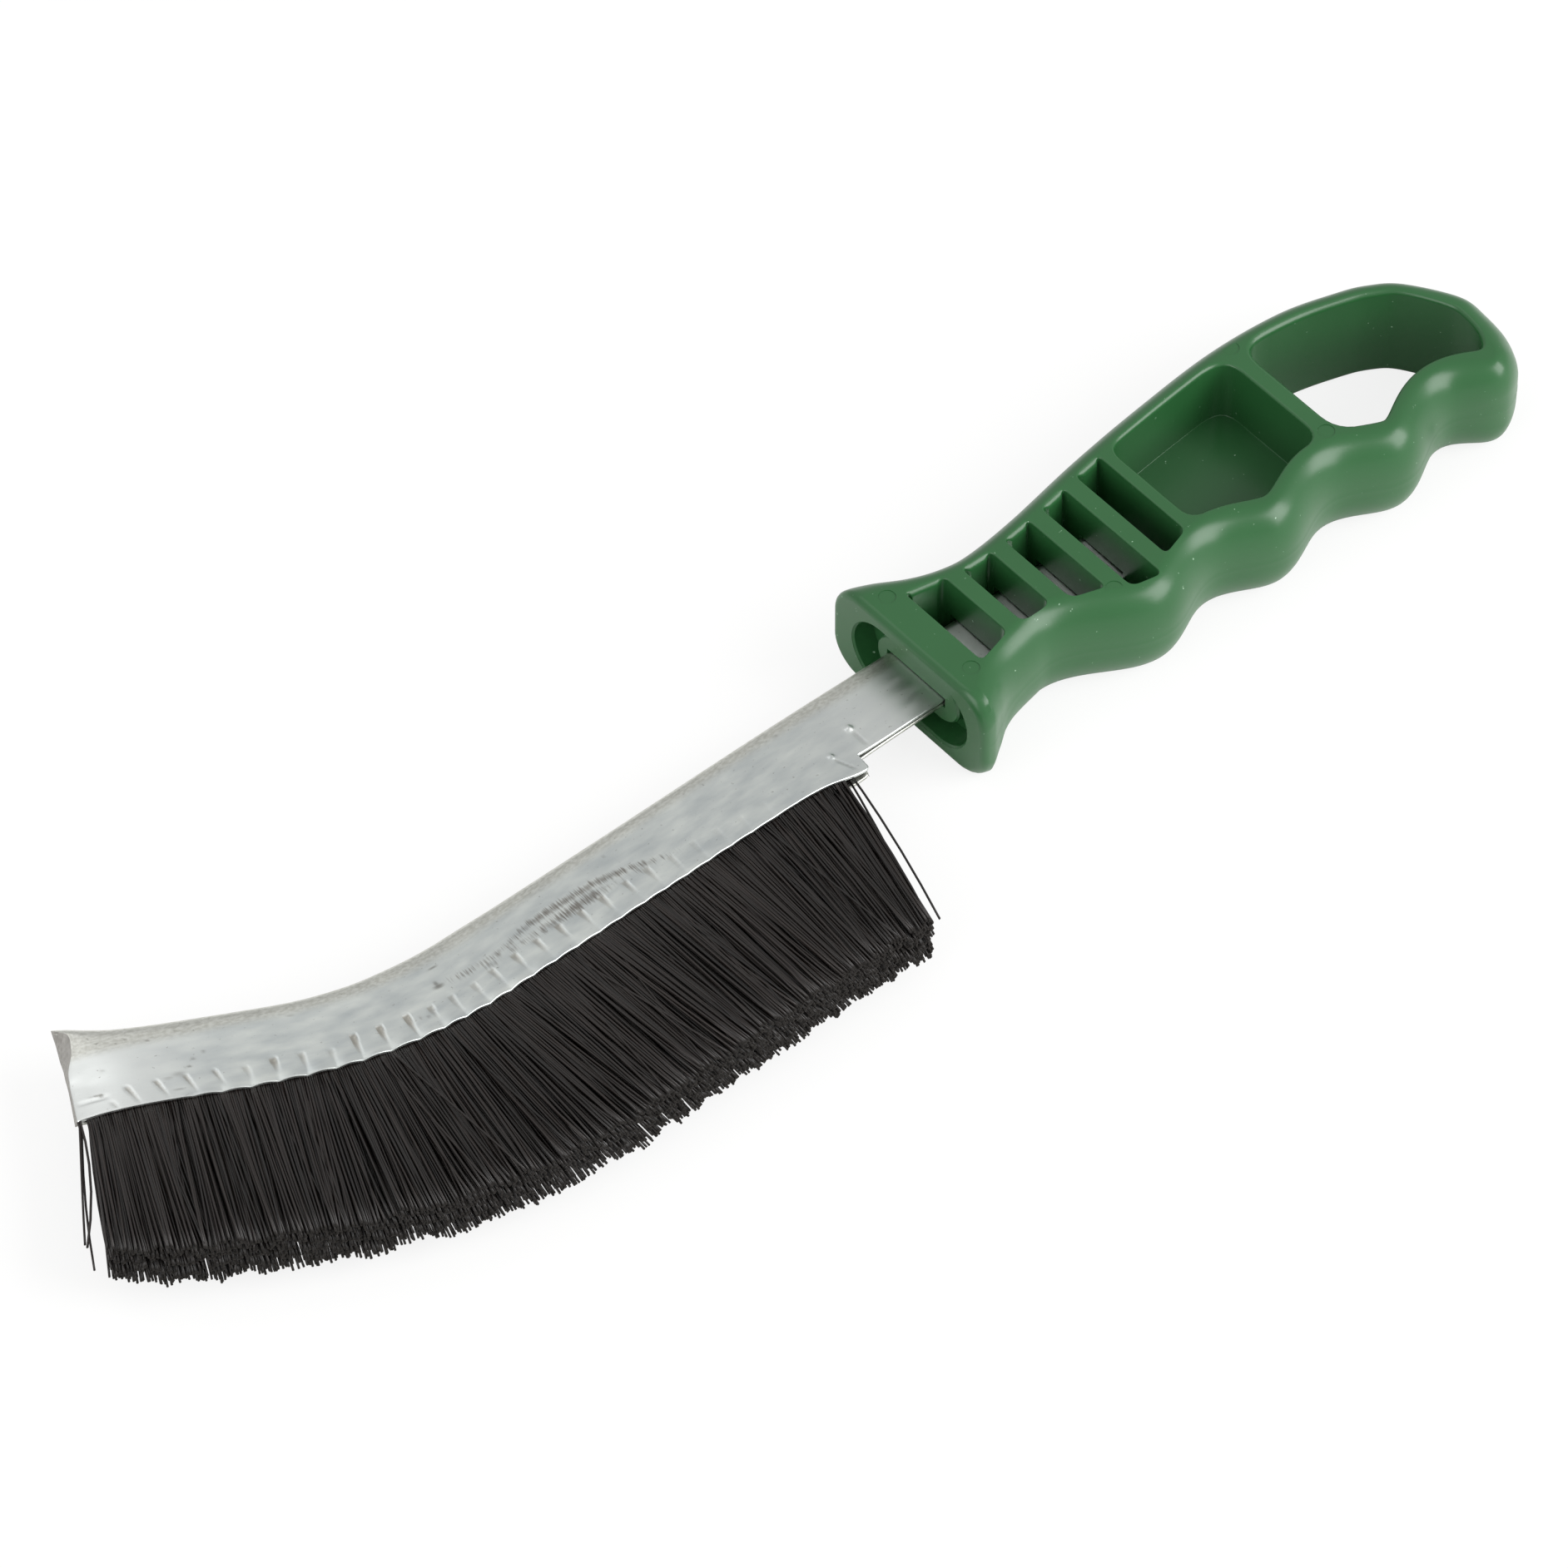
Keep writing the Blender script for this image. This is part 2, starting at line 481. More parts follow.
specks = add_node(zinc, "ShaderNodeTexNoise", {"Vector": speck_place.outputs[0], "Scale": 1.0, "Detail": 4.0})
speck_cut = add_node(zinc, "ShaderNodeMapRange", {0: specks.outputs[0], 1: 0.66, 2: 0.78, 4: 0.7})
stains = add_node(zinc, "ShaderNodeAttribute", {}, attribute_name="stain")
spotted = add_node(zinc, "ShaderNodeMath", {
    0: speck_cut.outputs[0], 1: stains.outputs["Fac"]}, operation="MAXIMUM")
specked = add_node(zinc, "ShaderNodeMix", {
    0: spotted.outputs[0], 6: scuffed.outputs[2], 7: colour("#77746E")}, data_type="RGBA")
dents = add_node(zinc, "ShaderNodeAttribute", {}, attribute_name="dent")
dent_cut = add_node(zinc, "ShaderNodeMapRange", {0: dents.outputs["Fac"], 1: 0.08, 2: 0.75, 4: 0.72})
finish = add_node(zinc, "ShaderNodeMix", {
    0: dent_cut.outputs[0], 6: specked.outputs[2], 7: colour("#979185")}, data_type="RGBA")
gloss = add_node(zinc, "ShaderNodeMapRange", {0: cloud.outputs[0], 1: 0.3, 2: 0.7, 3: 0.30, 4: 0.42})
grain_place = add_node(zinc, "ShaderNodeMapping", {0: uv.outputs[0], "Scale": cell_scale(1.6667, 0.2381)})
grain = add_node(zinc, "ShaderNodeTexNoise", {"Vector": grain_place.outputs[0], "Scale": 1.0, "Detail": 4.0})
grain_bump = add_node(zinc, "ShaderNodeBump", {
    "Height": grain.outputs[0], "Strength": 0.10, "Distance": 0.05 * MM})
zinc.node_tree.links.new(finish.outputs[2], shader.inputs["Base Color"])
zinc.node_tree.links.new(gloss.outputs[0], shader.inputs["Roughness"])
zinc.node_tree.links.new(grain_bump.outputs[0], shader.inputs["Normal"])
shader.inputs["Metallic"].default_value = 1.0
strip.data.materials.append(zinc)

# Bare steel where the strip was sheared off: dull, slightly rusted, torn, with a grain drawn at 0.7 mm to show
TORN_GRAIN = 0.7143 * MM
sheared, shader = new_material("sheared_steel")
spot = add_node(sheared, "ShaderNodeTexCoord", {})
tear = add_node(sheared, "ShaderNodeTexNoise", {
    "Vector": spot.outputs["Object"], "Scale": 1 / TORN_GRAIN, "Detail": 5.0})
torn = add_node(sheared, "ShaderNodeMix", {
    0: tear.outputs[0], 6: colour("#85827E"), 7: colour("#BBB9B5")}, data_type="RGBA")
tear_bump = add_node(sheared, "ShaderNodeBump", {
    "Height": tear.outputs[0], "Strength": 0.8, "Distance": 0.15 * MM})
sheared.node_tree.links.new(torn.outputs[2], shader.inputs["Base Color"])
sheared.node_tree.links.new(tear_bump.outputs[0], shader.inputs["Normal"])
shader.inputs["Metallic"].default_value = 0.7
shader.inputs["Roughness"].default_value = 0.6
strip.data.materials.append(sheared)


# The core wire
# A round, drawn steel wire in the fold, with the filaments doubled over it. Only its far end can be seen, so
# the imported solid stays. Its finish is that of drawn wire: fine lines along it and a thin grey film.

# A line's length, and its width across and up. Real ones are finer than 0.1 mm, so they are drawn coarser.
DRAW_LINE = (6.667 * MM, 1.111 * MM, 0.25 * MM)
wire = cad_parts["core_wire"]
drawn, shader = new_material("drawn_steel_wire")
spot = add_node(drawn, "ShaderNodeTexCoord", {})
draw_place = add_node(drawn, "ShaderNodeMapping", {
    0: spot.outputs["Object"], "Scale": [1 / size for size in DRAW_LINE]})
draw_lines = add_node(drawn, "ShaderNodeTexNoise", {
    "Vector": draw_place.outputs[0], "Scale": 1.0, "Detail": 3.0})
film = add_node(drawn, "ShaderNodeMix", {
    0: draw_lines.outputs[0], 6: colour("#8F8E8B"), 7: colour("#B9B9B7")}, data_type="RGBA")
drawn.node_tree.links.new(film.outputs[2], shader.inputs["Base Color"])
shader.inputs["Metallic"].default_value = 1.0
shader.inputs["Roughness"].default_value = 0.38
wire.data.materials.clear()
wire.data.materials.append(drawn)


# The filaments
# Extruded black nylon, 0.4 mm thick, doubled over the core wire and clamped by the folded strip. They spread
# from the lips to the trimmed edge, cling together in clumps and lean away from the handle near the ear.
FILAMENT_RADIUS = 0.20 * MM
FILAMENT_SIDES = 6
LAYERS = 9
LAYER_STEP = 0.265 * MM
COLUMN_STEP = 0.345 * MM
FREE_LENGTH = 31.5 * MM
EAR_LENGTH = 0.9 * MM
END_TRIM = 3.6 * MM
CORNER_TRIM = 2.4 * MM
FAN = 3.8
FAN_SHARES = (1.14, 0.18)  # of the fan: the middle layer's, and how it drops by the square of the side in mm
CURVE = 1.05  # the power by which the lean and the spread grow along a filament
BED_START = 4.4 * MM
BED_END = CHANNEL_RUN - 1.8 * MM
SECTIONS = 16
EAR_LEAN = math.radians(17.6)
LEAN_RUN = 45 * MM
END_SPLAY = 2.6 * MM
SPLAY_RUN = 10 * MM
RING_SHARES = (-0.08, 0.0, 0.13, 0.32, 0.55, 0.78, 1.0)
# The waves by which the filaments cling together: each one's length along the bed, and its sway at the tips
CLUMPS = ((3.1 * MM, 0.28 * MM), (5.3 * MM, 0.45 * MM), (9.7 * MM, 0.60 * MM), (21.0 * MM, 0.9 * MM))
CLUMP_LENGTH_SHARE = 0.25
CLUMP_SPREAD_SHARE = 0.45
HELD_SHARE = 0.3
LOOSE_RUN = 9 * MM
# How far single filaments stray at random, in mm, and how many of them cross the others
ROOT_JITTER = 0.05
RUN_JITTER = 0.07
SPREAD_SCATTER = 0.12
AHEAD_SCATTER = 0.14
LENGTH_SCATTER = 0.13
BOW_SCATTER = 0.22
RISE_SCATTER = 0.16
CROSSING_SHARE = 0.02
CROSSING_REACH = (2.5, 6.0)
CROSSING_LIFT = 0.5 * MM

phases = [[scatter.uniform(0, 2 * math.pi) for clump in CLUMPS] for layer in range(LAYERS)]

# One filament of unit length: a six-sided prism with rings to bend it by, whose butt lies inside the fold
template = bpy.data.meshes.new("one_filament")
bm = bmesh.new()
bmesh.ops.create_circle(bm, cap_ends=True, radius=FILAMENT_RADIUS, segments=FILAMENT_SIDES)
cap = bm.faces[:][0]
for share in RING_SHARES[1:]:
    made = bmesh.ops.extrude_face_region(bm, geom=[cap])["geom"]
    if share == RING_SHARES[1]:
        bmesh.ops.reverse_faces(bm, faces=[cap])
    new_cap = [item for item in made if isinstance(item, bmesh.types.BMFace)][0]
    if share != RING_SHARES[1]:
        bm.faces.remove(cap)
    cap = new_cap
    bmesh.ops.translate(bm, verts=cap.verts, vec=(0, 0, share - cap.verts[0].co.z))
bm.verts.ensure_lookup_table()
for vert in bm.verts[:FILAMENT_SIDES]:
    vert.co.z = RING_SHARES[0]
bmesh.ops.recalc_face_normals(bm, faces=bm.faces)
for face in bm.faces:
    face.smooth = len(face.verts) == 4
bm.to_mesh(template)
bm.free()


def grow_filament(bm, run, side, ahead, spread, length, bow, rise_bow):
    """Adds one filament, rooted at a run and side, whose tip lies some way ahead and spread to one side."""
    lip, up, along = strip_at(run)
    first = len(bm.verts)
    bm.from_mesh(template)
    bm.verts.ensure_lookup_table()
    tint = scatter.random()
    twist = scatter.uniform(0, math.pi)
    for vert in bm.verts[first:]:
        t = vert.co.z
        drop = length * t
        belly = 4 * t * (1 - t) if t > 0 else 0
        forward = ahead * max(t, 0) ** CURVE + bow * belly
        height = side + (spread - side) * max(t, 0) ** CURVE + rise_bow * belly
        x = vert.co.x * math.cos(twist) - vert.co.y * math.sin(twist)
        y = vert.co.x * math.sin(twist) + vert.co.y * math.cos(twist)
        point = lip - up * drop + along * (forward + x)
        vert.co = place(point, height + y)
        vert[bm.verts.layers.float["tint"]] = tint
        vert[bm.verts.layers.float["reach"]] = t


def bed_filament(bm, run, layer):
    """One filament of the bed, with its own small departures from the clump that it lies in."""
    side = (layer - (LAYERS - 1) / 2) * LAYER_STEP + scatter.uniform(-ROOT_JITTER, ROOT_JITTER) * MM
    room = (section_at(run)[2] - SHEET) / (LIP_HALF - SHEET)
    past = max(run - STRAIGHT_RUN, 0) / (BEND_RUN + END_RUN)
    length = FREE_LENGTH - END_TRIM * past ** 2 + EAR_LENGTH * max(0, 1 - run / LEAN_RUN) ** 2
    lean = math.tan(EAR_LEAN) * max(0, 1 - (run - BED_START) / LEAN_RUN) ** 2
    loose = min(HELD_SHARE + min(run - BED_START, BED_END - run) / LOOSE_RUN, 1)
    length -= CORNER_TRIM * max(0, 1 - (BED_END - run) / SPLAY_RUN) ** 2
    ahead = length * lean + END_SPLAY * max(0, 1 - (BED_END - run) / SPLAY_RUN) ** 2
    middle_share, outer_drop = FAN_SHARES
    spread = side * FAN * (middle_share - outer_drop * (side / MM) ** 2)
    spread += scatter.gauss(0, SPREAD_SCATTER) * MM
    for (size, sway), phase in zip(CLUMPS, phases[layer]):
        ahead += loose * sway * math.sin(2 * math.pi * run / size + phase)
        length += CLUMP_LENGTH_SHARE * sway * math.sin(4 * math.pi * run / size + phase)
        spread += CLUMP_SPREAD_SHARE * sway * math.cos(5.4 * math.pi * run / size + phase)
    ahead += scatter.gauss(0, AHEAD_SCATTER) * MM
    length += scatter.gauss(0, LENGTH_SCATTER) * MM
    side *= min(room, 1)
    if scatter.random() < CROSSING_SHARE and loose == 1:
        ahead += scatter.choice((-1, 1)) * scatter.uniform(*CROSSING_REACH) * MM
        spread += CROSSING_LIFT
    bow = scatter.gauss(0, BOW_SCATTER) * MM
    rise_bow = scatter.gauss(0, RISE_SCATTER) * MM
    grow_filament(bm, run, side, ahead, spread, length, bow, rise_bow)


# Strays at the bed's two ends: run and side of the root, then ahead, spread, length, bow and rise, in mm
EAR_STRAYS = ((3.0, 0.6, 9.6, 2.6, 31.8, -0.3, 0.2), (3.2, -0.5, 9.8, -1.5, 31.0, 0.0, 0.0))
END_STRAYS = (
    (138.7, 0.3, 3.7, -0.7, 20.8, 0.1, 0.0), (138.4, -0.2, 3.6, -1.0, 25.5, 0.5, 0.0),
    (138.4, 0.4, 3.9, 0.5, 22.3, -0.9, 0.0),
)

# Black nylon straight from the die: warm near-black, softly shiny along each filament, dull where it was cut
nylon, shader = new_material("black_nylon")
tint = add_node(nylon, "ShaderNodeAttribute", {}, attribute_name="tint")
reach = add_node(nylon, "ShaderNodeAttribute", {}, attribute_name="reach")
body = add_node(nylon, "ShaderNodeMix", {
    0: tint.outputs["Fac"], 6: colour("#120F0D"), 7: colour("#211B18")}, data_type="RGBA")
cut = add_node(nylon, "ShaderNodeMapRange", {0: reach.outputs["Fac"], 1: 0.98, 2: 1.0})
gloss = add_node(nylon, "ShaderNodeMapRange", {0: reach.outputs["Fac"], 1: 0.98, 2: 1.0, 3: 0.40, 4: 0.95})
tipped = add_node(nylon, "ShaderNodeMix", {
    0: cut.outputs[0], 6: body.outputs[2], 7: colour("#17130F")}, data_type="RGBA")
nylon.node_tree.links.new(tipped.outputs[2], shader.inputs["Base Color"])
nylon.node_tree.links.new(gloss.outputs[0], shader.inputs["Roughness"])
shader.inputs["Specular IOR Level"].default_value = 0.4
shader.inputs["IOR"].default_value = 1.53

section_run = (BED_END - BED_START) / SECTIONS
for index in range(SECTIONS):
    start = BED_START + index * section_run
    end = BED_START + (index + 1) * section_run
    bm = bmesh.new()
    bm.verts.layers.float.new("tint")
    bm.verts.layers.float.new("reach")
    columns = round((end - start) / COLUMN_STEP)
    for column in range(columns):
        for layer in range(LAYERS):
            run = start + (end - start) * (column + 0.25 + 0.5 * (layer % 2)) / columns
            bed_filament(bm, run + scatter.uniform(-RUN_JITTER, RUN_JITTER) * MM, layer)
    strays = EAR_STRAYS if index == 0 else END_STRAYS if index == SECTIONS - 1 else ()
    for stray in strays:
        grow_filament(bm, *(value * MM for value in stray))
    tuft = add_piece(f"filaments_{index + 1:02d}", bm)
    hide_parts(f"filament_section_{index + 1:02d}")
    tuft.data.materials.append(nylon)


# The handle
# One injection moulding in green polypropylene, cored by a row of windows, a blind pocket and a hole for a
# finger or a hook, with rounded finger grooves. Its boss and its ribs grip the tang.
HANDLE_LENGTH = 116.3 * MM
HALF_THICKNESS = 9.25 * MM
BACK_RISE = 17.2 * MM
FLANGE_DROP = 17.4 * MM
NECK_DROP = 11.0 * MM
PEAK_DROP = 18.5 * MM
BUTT_PEAK_DROP = 18.3 * MM
BACK_ROUNDING = 4.0 * MM
FINGER_ROUNDING = 5.2 * MM
FLANGE_ROUNDING = 6.4 * MM
FRONT_ROUNDING = 1.3 * MM
FRONT_TOLERANCE = 0.01 * MM
BACK_WALL = 3.55 * MM
FINGER_WALL = 5.4 * MM
FRONT_BAND = 6.2 * MM
RIB_WIDTH = 2.6 * MM
WINDOW_WIDTH = 6.2 * MM
WINDOW_CORNER = 1.7 * MM
WEB_TOP = -2.5 * MM
WEB_THICKNESS = 3.0 * MM
POCKET_CORNERS = (3.6 * MM, 3.4 * MM, 5.2 * MM, 4.2 * MM)
POCKET_RIB_WIDTH = 1.5 * MM
HOLE_CORNERS = (5.5 * MM, 4.5 * MM, 1.0 * MM)
HOLE_RIB_WIDTH = 2.0 * MM
POCKET_FOOT_RADIUS = 0.15 * MM
FAR_FOOT_RADIUS = 0.4 * MM
WINDOW_FILLETS = (1.2 * MM, 0.3 * MM)  # along the back edge, and along the other edges
POCKET_FILLETS = (0.9 * MM, 0.5 * MM)
HOLE_FILLETS = (1.2 * MM, 0.8 * MM)
FILLET_NARROWING = 4
RIM_CLIMB = 0.02 * MM
RIM_CLIMB_SHARE = 0.03
DRAFT = 0.1 * MM
LEAST_STEP = 0.3 * MM
ARC_CLEARANCE = 0.1 * MM
PARTING_RIDGE = 0.05 * MM
PARTING_RIDGE_HALF = 0.25 * MM
PIN_MARK_RADIUS = 1.4 * MM
PIN_MARK_DEPTH = 0.10 * MM
PIN_MARKS = ((3.9, 9.7), (4.2, -9.4), (31.5, -11.6), (78.0, -9.1), (78.5, 13.5))  # their places, in mm
# The outline: shares of the handle's length, and of the rise or drop named above
BACK_EDGE_SHARES = (
    (0.000, 1.060), (0.022, 1.010), (0.046, 0.920), (0.086, 0.742), (0.129, 0.633), (0.174, 0.602),
    (0.258, 0.663), (0.387, 0.815), (0.516, 0.925), (0.655, 1.000), (0.774, 0.953),
    (0.860, 0.800), (0.905, 0.675), (0.947, 0.460), (0.992, -0.020), (1.000, -0.350),
)
BUTT_CORNER_SHARES = ((0.993, 0.640), (0.970, 0.880))
NECK_SHARE = 0.159
FLANGE_EDGE_SHARES = ((0.108, 0.700), (0.072, 0.780), (0.043, 0.900), (0.013, 1.000))
FIRST_PEAK_SHARE = 0.322
BUTT_PEAK_SHARE = 0.931
TURN_SHARES = (0.0, 0.175, 0.345, 0.520, 0.695, 0.867)
TURN_DROP_SHARES = (0.985, 0.780, 1.000, 0.800, 1.040, 0.795)
FLANGE_REACH_SHARE = 0.10
EDGE_DEPTH_SHARE = 1.6
TIGHT_SHARE = 0.8
TIGHT_SPAN = 8
BEND_SPAN = 4
EDGE_SMOOTHINGS = 50
NEAR_SHARE = 0.97
INSET_SMOOTHINGS = 10
# The windows, from the front: shares of their width, and of the walls at their two ends, left and right
WINDOW_WIDTH_SHARES = (1.18, 1.00, 0.98, 0.94, 0.97)
WINDOW_BACK_SHARES = ((-0.48, 0.00), (0.02, 0.02), (0.02, 0.02), (-0.02, -0.02), (0.0, 0.0))
WINDOW_FLOOR_SHARES = ((0.98, 0.78), (0.70, 0.74), (0.74, 1.00), (0.78, 0.64), (0.96, 0.84))
HOLE_START_SHARE = 0.679
SPLINE_STEPS = 10
WAVE_STEPS = 18
ROUND_STEPS = 12
CORNER_STEPS = 6
FILLET_ANGLES = (0, 15, 30, 45, 60, 78)
FOOT_ANGLES = (0, 22.5, 45, 67.5, 90)
FLAT_ANGLE = math.radians(0.3)
SMOOTH_ANGLE = math.radians(38)


def spline(points, steps):
    """A smooth curve through the points, level at its last one."""
    ends = [2 * points[0] - points[1], *points, Vector((2 * points[-1].x - points[-2].x, points[-2].y))]
    found = []
    for before, here, after, beyond in zip(ends, ends[1:], ends[2:], ends[3:]):
        for i in range(steps):
            t = i / steps
            bend = (2 * before - 5 * here + 4 * after - beyond) * t * t
            twist = (3 * here - before - 3 * after + beyond) * t * t * t
            found.append((2 * here + (after - before) * t + bend + twist) / 2)
    return [*found, points[-1]]


def wave(turns, steps):
    """A curve that swings from turn to turn, level at each of them."""
    found = []
    for here, after in zip(turns, turns[1:]):
        for i in range(steps):
            t = i / steps
            rise = (1 - math.cos(math.pi * t)) / 2
            found.append(Vector((here.x + (after.x - here.x) * t, here.y + (after.y - here.y) * rise)))
    return [*found, turns[-1]]


def inward(before, here, after):
    """The unit vector at here that points into an outline drawn clockwise."""
    run = (here - before).normalized() + (after - here).normalized()
    return Vector((run.y, -run.x)).normalized()


points = [Vector((x * HANDLE_LENGTH, y * BACK_RISE)) for x, y in BACK_EDGE_SHARES]
points += [Vector((x * HANDLE_LENGTH, -y * BUTT_PEAK_DROP)) for x, y in BUTT_CORNER_SHARES]
points.append(Vector((BUTT_PEAK_SHARE * HANDLE_LENGTH, -BUTT_PEAK_DROP)))
back = spline(points, SPLINE_STEPS)

first_peak = FIRST_PEAK_SHARE * HANDLE_LENGTH
last_peak = BUTT_PEAK_SHARE * HANDLE_LENGTH
turns = [
    Vector((first_peak + (last_peak - first_peak) * x, -y * PEAK_DROP))
    for x, y in zip(TURN_SHARES, TURN_DROP_SHARES)
]
turns.append(Vector((last_peak, -BUTT_PEAK_DROP)))
neck = Vector((NECK_SHARE * HANDLE_LENGTH, -NECK_DROP))
flange = [Vector((x * HANDLE_LENGTH, -y * FLANGE_DROP)) for x, y in FLANGE_EDGE_SHARES]
grip = wave([*reversed(turns), neck], WAVE_STEPS)
fingers = [*grip[:-1], *spline([neck, *flange], SPLINE_STEPS // 2)]


def flange_nearness(point):
    """1 at the front face, falling to 0 where the flange ends."""
    return max(0, 1 - point.x / (FLANGE_REACH_SHARE * HANDLE_LENGTH))


def bend_radius(before, here, after):
    """The radius of a clockwise outline where it bulges out, and a very large one elsewhere."""
    turn = (here - before).angle_signed(after - here)
    return (after - before).length / 2 / max(turn, FLAT_ANGLE)


front_top = back[0]
front_low = Vector((0, fingers[-1].y))
outline = [p for p in (*back[1:-1], *fingers) if p.x > 1.5 * FRONT_ROUNDING]
outline = [front_top, *outline, front_low]
radii = []
for i, point in enumerate(outline[1:-1], 1):
    plain = BACK_ROUNDING if point.y > 0 else FINGER_ROUNDING
    radius = plain + (FLANGE_ROUNDING - plain) * flange_nearness(point) ** 0.5
    near = [outline[j] for j in (max(i - BEND_SPAN, 0), i, min(i + BEND_SPAN, len(outline) - 1))]
    radii.append(min(radius, HALF_THICKNESS - FRONT_ROUNDING, TIGHT_SHARE * bend_radius(*near)))
radii = [min(radii[max(i - TIGHT_SPAN, 0):i + TIGHT_SPAN + 1]) for i in range(len(radii))]
for sweep in range(EDGE_SMOOTHINGS):
    radii = [radii[0], *((a + 2 * b + c) / 4 for a, b, c in zip(radii, radii[1:], radii[2:])), radii[-1]]
rim = []
for before, point, after, radius in zip(outline, outline[1:], outline[2:], radii):
    nearness = flange_nearness(point)
    way = inward(before, point, after).lerp(Vector((0, math.copysign(1, -point.y))), nearness)
    depth = radius * (1 + (EDGE_DEPTH_SHARE - 1) * (1 - nearness))
    rim.append((point, way.normalized(), radius, min(depth, HALF_THICKNESS - FRONT_ROUNDING)))
rim = [
    (front_top, Vector((0, -1)), FLANGE_ROUNDING, FLANGE_ROUNDING),
    *rim,
    (front_low, Vector((0, 1)), FLANGE_ROUNDING, FLANGE_ROUNDING),
]

# Rings from the upper side face round the quarter-oval edges to the lower one, with a faint ridge at the
# middle where the two halves of the mould met
rings = []
for step in range(ROUND_STEPS + 1):
    angle = math.pi / 2 * step / ROUND_STEPS
    rings.append([
        place(p + way * wide * (1 - math.sin(angle)), HALF_THICKNESS - deep * (1 - math.cos(angle)))
        for p, way, wide, deep in rim
    ])
for height, ridge in ((PARTING_RIDGE_HALF, 0), (0, PARTING_RIDGE), (-PARTING_RIDGE_HALF, 0)):
    rings.append([place(p - way * (ridge if p.x > 0 else 0), height) for p, way, wide, deep in rim])
for step in range(ROUND_STEPS + 1):
    angle = math.pi / 2 * (1 - step / ROUND_STEPS)
    rings.append([
        place(p + way * wide * (1 - math.sin(angle)), deep * (1 - math.cos(angle)) - HALF_THICKNESS)
        for p, way, wide, deep in rim
    ])


def loft(rings):
    """A closed body through rings of equal count: the first one's face, extruded from ring to ring."""
    bm = bmesh.new()
    face = bm.faces.new([bm.verts.new(point) for point in rings[0]])
    for ring in rings[1:]:
        made = bmesh.ops.extrude_face_region(bm, geom=[face, *face.edges, *face.verts])["geom"]
        face = next(item for item in made if isinstance(item, bmesh.types.BMFace))
        for vert, point in zip(face.verts, ring):
            vert.co = point
    bmesh.ops.recalc_face_normals(bm, faces=bm.faces)
    return bm


bm = loft(rings)
front_faces = [face for face in bm.faces if face.calc_center_median().x < TOOL_AXIS.x + FRONT_TOLERANCE]
front = bmesh.ops.dissolve_faces(bm, faces=front_faces)
bmesh.ops.bevel(
    bm, geom=list(front["region"][0].edges), offset=FRONT_ROUNDING, segments=5, profile=0.5, affect="EDGES",
    clamp_overlap=False)
moulding = add_piece("handle_moulding", bm)
cutters = []


def cut_out(bm):
    """Cuts the body in bm out of the moulding."""
    mesh = bpy.data.meshes.new("cutter")
    bm.to_mesh(mesh)
    bm.free()
    cutter = bpy.data.objects.new("cutter", mesh)
    bpy.context.scene.collection.objects.link(cutter)
    boolean = moulding.modifiers.new("cut", "BOOLEAN")
    boolean.object = cutter
    boolean.operation = "DIFFERENCE"
    boolean.solver = "EXACT"
    cutters.append(cutter)


def inset_line(points, walls):
    """An open line moved inwards by its walls and smoothed, without points that a tight bend throws past."""
    ends = [2 * points[0] - points[1], *points, 2 * points[-1] - points[-2]]
    moved = [b + inward(a, b, c) * wall for a, b, c, wall in zip(ends, ends[1:], ends[2:], walls)]
    kept = [p for p, wall in zip(moved, walls) if min((p - q).length for q in points) > NEAR_SHARE * wall]
    for _ in range(INSET_SMOOTHINGS):
        kept = [kept[0], *((a + 2 * b + c) / 4 for a, b, c in zip(kept, kept[1:], kept[2:])), kept[-1]]
    return kept


def height_at(points, x):
    """The line's height over x, where it runs steadily along X."""
    for a, b in zip(points, points[1:]):
        if min(a.x, b.x) <= x <= max(a.x, b.x) and a.x != b.x:
            return a.y + (b.y - a.y) * (x - a.x) / (b.x - a.x)
    return min(points, key=lambda point: abs(point.x - x)).y


def off_corner(outline, i, way, radius):
    """The place on the outline that lies a radius away from its point i, one way or the other round it."""
    point = outline[i]
    before, found = point, outline[(i + way) % len(outline)]
    while (found - point).length < radius:
        i += way
        before, found = found, outline[(i + way) % len(outline)]
    near, far = (before - point).length, (found - point).length
    return before.lerp(found, (radius - near) / (far - near))


def rounded(outline, corners, radii):
    """A clockwise outline with the given corners rounded: an arc takes the place of all points near them."""
    found = []
    for i, point in enumerate(outline):
        if point in corners:
            radius = radii[corners.index(point)]
            start = off_corner(outline, i, -1, radius)
            end = off_corner(outline, i, 1, radius)
            for step in range(CORNER_STEPS + 1):
                t = step / CORNER_STEPS
                found.append(start * (1 - t) ** 2 + point * 2 * t * (1 - t) + end * t * t)
        elif all((point - corner).length > radius + ARC_CLEARANCE for corner, radius in zip(corners, radii)):
            found.append(point)
    return found


